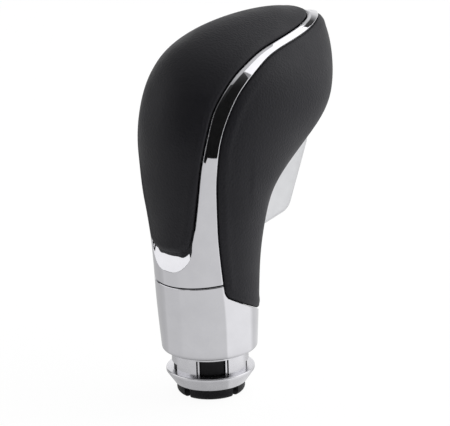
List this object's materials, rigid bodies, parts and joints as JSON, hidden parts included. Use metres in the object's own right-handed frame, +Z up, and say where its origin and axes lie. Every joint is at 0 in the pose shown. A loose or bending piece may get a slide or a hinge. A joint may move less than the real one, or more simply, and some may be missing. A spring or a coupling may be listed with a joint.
{
  "type": "gear shift knob",
  "caption": "Gear shift knob for an automatic gearbox: black leather pads parted by a chrome band, a release button in front, a satin sleeve and a socket for the lever.",
  "frame": {"origin": "centre of the mouth of the lever socket", "axes": "+X forward to the release button, +Y left, +Z up along the lever and out of the top of the knob"},
  "size_m": [0.0775, 0.0464, 0.1216],
  "materials": {
    "black_leather": "matte fine grain",
    "bright_chrome": "polished",
    "satin_chrome": "satin",
    "silver_lacquer": "satin",
    "black_plastic": "moulded",
    "grey_plastic": "moulded",
    "steel": "plain"
  },
  "bodies": {
    "knob": {"rear_pad_leather": "black_leather", "rear_pad_carrier": "black_plastic", "front_grip_leather": "black_leather", "front_grip_carrier": "black_plastic", "chrome_frame": "bright_chrome", "lower_sleeve": "satin_chrome", "boot_collar": "satin_chrome", "lever_socket": "black_plastic", "collet_ring": "steel", "core_left": "grey_plastic", "core_right": "grey_plastic", "return_spring": "steel", "core_screw_low": "steel", "core_screw_high": "steel", "frame_screw_left": "steel", "frame_screw_right": "steel", "grip_screw_left": "steel", "grip_screw_right": "steel"},
    "button": {"button_cap": "silver_lacquer", "button_slider": "grey_plastic"},
    "plunger": {"release_plunger": "steel", "plunger_pin": "steel"}
  },
  "joints": [
    {"name": "button_slide", "type": "slide", "parent": "knob", "child": "button", "axis": [-1, 0, 0], "range_m": [0, 0.005], "stiffness_N_per_m": 1500, "springref_m": -0.004},
    {"name": "plunger_slide", "type": "slide", "parent": "knob", "child": "plunger", "axis": [0, 0, -1], "range_m": [0, 0.005], "deforming": ["return_spring"]}
  ],
  "couplings": [
    {"joint": "plunger_slide", "follows": "button_slide", "ratio": 1}
  ]
}
